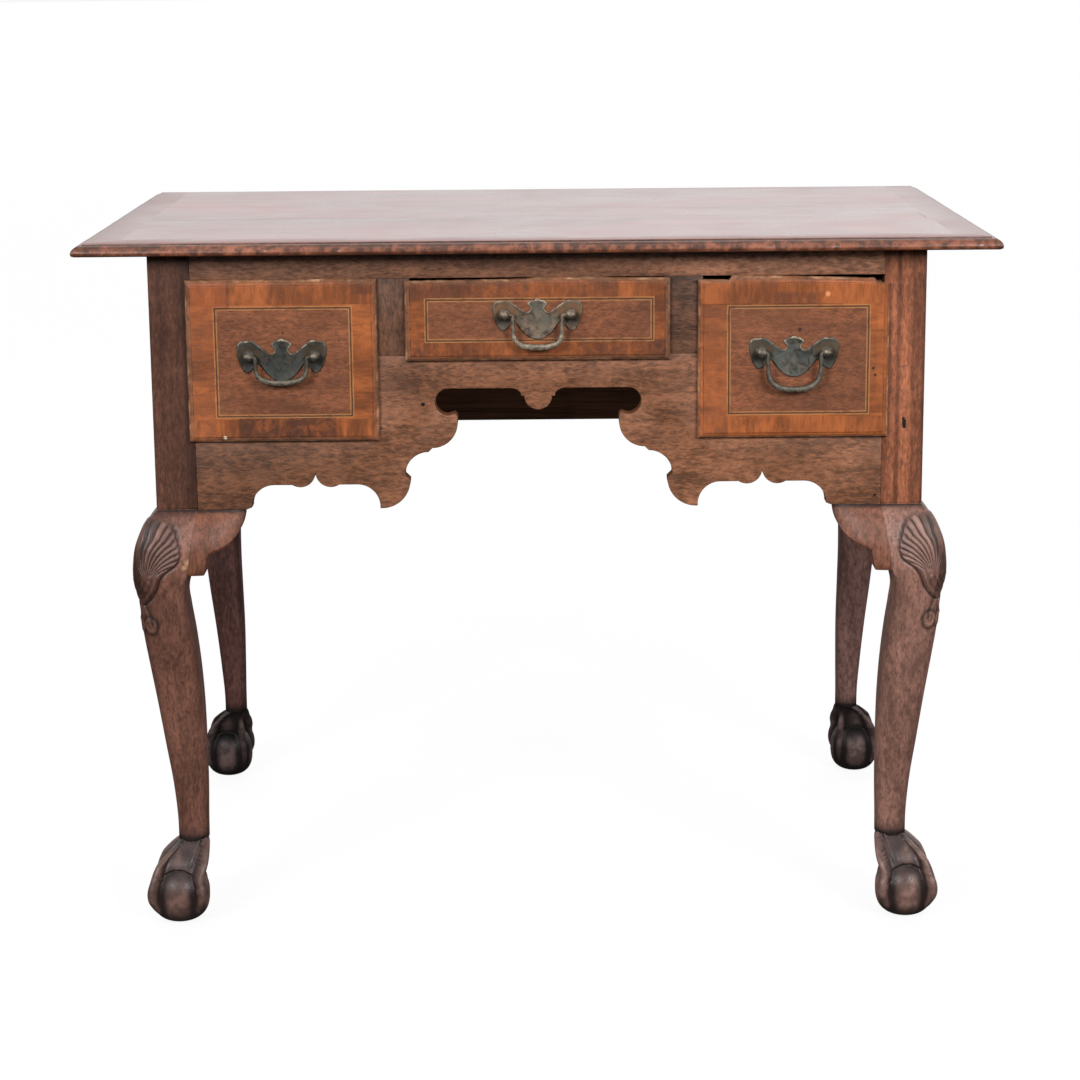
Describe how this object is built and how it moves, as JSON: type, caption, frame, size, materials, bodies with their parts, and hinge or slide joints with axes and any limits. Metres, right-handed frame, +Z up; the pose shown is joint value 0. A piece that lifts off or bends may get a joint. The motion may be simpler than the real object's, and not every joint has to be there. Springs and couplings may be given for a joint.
{
  "type": "lowboy",
  "caption": "Lowboy dressing table on cabriole legs with ball-and-claw feet, carved knees, lipped drawers with bail handles and a shaped apron.",
  "frame": {"origin": "middle of the floor plan, at floor level", "axes": "+X to the right seen from the front and along the width, -Y out of the drawer fronts, +Z up"},
  "size_m": [0.92, 0.552, 0.7185],
  "materials": {
    "leg_front_left": "aged dark brown carved wood, waxed",
    "leg_front_right": "aged dark brown carved wood, waxed",
    "leg_rear_left": "aged dark brown carved wood, waxed",
    "leg_rear_right": "aged dark brown carved wood, waxed",
    "bracket_front_left": "aged brown wood, waxed",
    "bracket_front_right": "aged brown wood, waxed",
    "bracket_side_front_left": "aged brown wood, waxed",
    "bracket_side_front_right": "aged brown wood, waxed",
    "bracket_side_rear_left": "aged brown wood, waxed",
    "bracket_side_rear_right": "aged brown wood, waxed",
    "side_panel_left": "aged dark brown wood, waxed",
    "side_panel_right": "aged dark brown wood, waxed",
    "back_panel": "plain inner wood, unfinished",
    "front_apron": "aged brown wood, waxed",
    "top_rail": "aged dark brown wood, waxed",
    "drawer_divider_left": "aged dark brown wood, waxed",
    "drawer_divider_right": "aged dark brown wood, waxed",
    "side_runner_outer_left": "plain inner wood, unfinished",
    "side_runner_outer_right": "plain inner wood, unfinished",
    "side_runner_inner_left": "plain inner wood, unfinished",
    "side_runner_inner_right": "plain inner wood, unfinished",
    "center_runner_left": "plain inner wood, unfinished",
    "center_runner_right": "plain inner wood, unfinished",
    "kicker_left": "plain inner wood, unfinished",
    "kicker_right": "plain inner wood, unfinished",
    "top_board_front": "waxed board with a worn sheen",
    "top_board_rear": "waxed board with a worn sheen",
    "top_border_front": "cross-grained border, waxed",
    "top_border_left": "cross-grained border, waxed",
    "top_border_right": "cross-grained border, waxed",
    "left_drawer_front": "waxed front with a crossbanded border and fine stringing",
    "left_drawer_side_left": "plain inner wood, unfinished",
    "left_drawer_side_right": "plain inner wood, unfinished",
    "left_drawer_back": "plain inner wood, unfinished",
    "left_drawer_bottom": "plain inner wood, unfinished",
    "left_drawer_backplate": "old brass, dark with verdigris",
    "left_drawer_stud_left": "old brass, dark with verdigris",
    "left_drawer_stud_right": "old brass, dark with verdigris",
    "left_drawer_bail": "old brass, dark with verdigris",
    "center_drawer_front": "waxed front with a crossbanded border and fine stringing",
    "center_drawer_side_left": "plain inner wood, unfinished",
    "center_drawer_side_right": "plain inner wood, unfinished",
    "center_drawer_back": "plain inner wood, unfinished",
    "center_drawer_bottom": "plain inner wood, unfinished",
    "center_drawer_backplate": "old brass, dark with verdigris",
    "center_drawer_stud_left": "old brass, dark with verdigris",
    "center_drawer_stud_right": "old brass, dark with verdigris",
    "center_drawer_bail": "old brass, dark with verdigris",
    "right_drawer_front": "waxed front with a crossbanded border and fine stringing",
    "right_drawer_side_left": "plain inner wood, unfinished",
    "right_drawer_side_right": "plain inner wood, unfinished",
    "right_drawer_back": "plain inner wood, unfinished",
    "right_drawer_bottom": "plain inner wood, unfinished",
    "right_drawer_backplate": "old brass, dark with verdigris",
    "right_drawer_stud_left": "old brass, dark with verdigris",
    "right_drawer_stud_right": "old brass, dark with verdigris",
    "right_drawer_bail": "old brass, dark with verdigris"
  },
  "bodies": {
    "case": {"leg_front_left": "leg_front_left", "leg_front_right": "leg_front_right", "leg_rear_left": "leg_rear_left", "leg_rear_right": "leg_rear_right", "bracket_front_left": "bracket_front_left", "bracket_front_right": "bracket_front_right", "bracket_side_front_left": "bracket_side_front_left", "bracket_side_front_right": "bracket_side_front_right", "bracket_side_rear_left": "bracket_side_rear_left", "bracket_side_rear_right": "bracket_side_rear_right", "side_panel_left": "side_panel_left", "side_panel_right": "side_panel_right", "back_panel": "back_panel", "front_apron": "front_apron", "top_rail": "top_rail", "drawer_divider_left": "drawer_divider_left", "drawer_divider_right": "drawer_divider_right", "side_runner_outer_left": "side_runner_outer_left", "side_runner_outer_right": "side_runner_outer_right", "side_runner_inner_left": "side_runner_inner_left", "side_runner_inner_right": "side_runner_inner_right", "center_runner_left": "center_runner_left", "center_runner_right": "center_runner_right", "kicker_left": "kicker_left", "kicker_right": "kicker_right", "top_board_front": "top_board_front", "top_board_rear": "top_board_rear", "top_border_front": "top_border_front", "top_border_left": "top_border_left", "top_border_right": "top_border_right"},
    "left_drawer": {"left_drawer_front": "left_drawer_front", "left_drawer_side_left": "left_drawer_side_left", "left_drawer_side_right": "left_drawer_side_right", "left_drawer_back": "left_drawer_back", "left_drawer_bottom": "left_drawer_bottom", "left_drawer_backplate": "left_drawer_backplate", "left_drawer_stud_left": "left_drawer_stud_left", "left_drawer_stud_right": "left_drawer_stud_right"},
    "left_bail": {"left_drawer_bail": "left_drawer_bail"},
    "center_drawer": {"center_drawer_front": "center_drawer_front", "center_drawer_side_left": "center_drawer_side_left", "center_drawer_side_right": "center_drawer_side_right", "center_drawer_back": "center_drawer_back", "center_drawer_bottom": "center_drawer_bottom", "center_drawer_backplate": "center_drawer_backplate", "center_drawer_stud_left": "center_drawer_stud_left", "center_drawer_stud_right": "center_drawer_stud_right"},
    "center_bail": {"center_drawer_bail": "center_drawer_bail"},
    "right_drawer": {"right_drawer_front": "right_drawer_front", "right_drawer_side_left": "right_drawer_side_left", "right_drawer_side_right": "right_drawer_side_right", "right_drawer_back": "right_drawer_back", "right_drawer_bottom": "right_drawer_bottom", "right_drawer_backplate": "right_drawer_backplate", "right_drawer_stud_left": "right_drawer_stud_left", "right_drawer_stud_right": "right_drawer_stud_right"},
    "right_bail": {"right_drawer_bail": "right_drawer_bail"}
  },
  "joints": [
    {"name": "left_drawer_slide", "type": "slide", "parent": "case", "child": "left_drawer", "axis": [0, -1, 0], "range_m": [0, 0.36]},
    {"name": "left_bail_hinge", "type": "hinge", "parent": "left_drawer", "child": "left_bail", "pos_m": [-0.257, -0.2598, 0.6025], "axis": [-1, 0, 0], "range_deg": [-8, 165]},
    {"name": "center_drawer_slide", "type": "slide", "parent": "case", "child": "center_drawer", "axis": [0, -1, 0], "range_m": [0, 0.36]},
    {"name": "center_bail_hinge", "type": "hinge", "parent": "center_drawer", "child": "center_bail", "pos_m": [0, -0.2598, 0.643], "axis": [-1, 0, 0], "range_deg": [-8, 165]},
    {"name": "right_drawer_slide", "type": "slide", "parent": "case", "child": "right_drawer", "axis": [0, -1, 0], "range_m": [0, 0.36]},
    {"name": "right_bail_hinge", "type": "hinge", "parent": "right_drawer", "child": "right_bail", "pos_m": [0.257, -0.2598, 0.6025], "axis": [-1, 0, 0], "range_deg": [-8, 165]}
  ]
}
